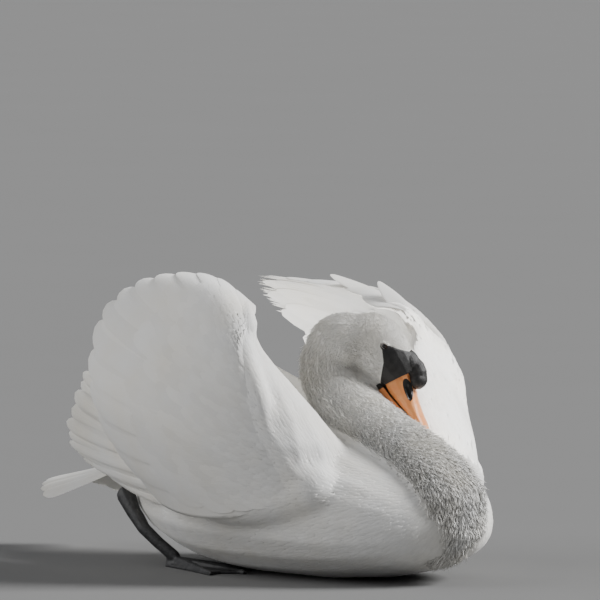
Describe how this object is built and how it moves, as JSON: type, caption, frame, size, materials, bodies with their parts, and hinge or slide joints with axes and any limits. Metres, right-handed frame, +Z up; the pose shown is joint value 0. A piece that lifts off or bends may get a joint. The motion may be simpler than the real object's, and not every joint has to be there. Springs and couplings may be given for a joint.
{
  "type": "swan",
  "caption": "Life-size mute swan at rest on its belly: wings arched in a fan over the back, neck laid back, bill turned down beside the neck, knobbed bill, short wedge tail, webbed feet tucked under",
  "frame": {"origin": "the middle of the flat under the belly, on the floor", "axes": "the bird faces -Y, its left side is +X, +Z is up"},
  "size_m": [0.4636, 0.8068, 0.3836],
  "materials": {
    "plumage": "soft white feathers",
    "bare_skin": "black finely grained skin",
    "bill": "orange horn, satin",
    "eye": "wet dark brown",
    "leg": "black scaled skin"
  },
  "bodies": {
    "root": {"head": "plumage", "face_mask": "bare_skin", "knob": "bare_skin", "bill_lower": "bill", "bill_upper": "bill", "eye_left": "eye", "eye_right": "eye", "neck_lower": "plumage", "neck_middle": "plumage", "neck_upper": "plumage", "trunk": "plumage", "tail": "plumage", "wing_right_fan": "plumage", "wing_right_primaries": "plumage", "wing_right_arm": "plumage", "wing_left_fan": "plumage", "wing_left_primaries": "plumage", "wing_left_arm": "plumage", "leg_right": "leg", "foot_right": "leg", "leg_left": "leg", "foot_left": "leg"}
  },
  "joints": []
}
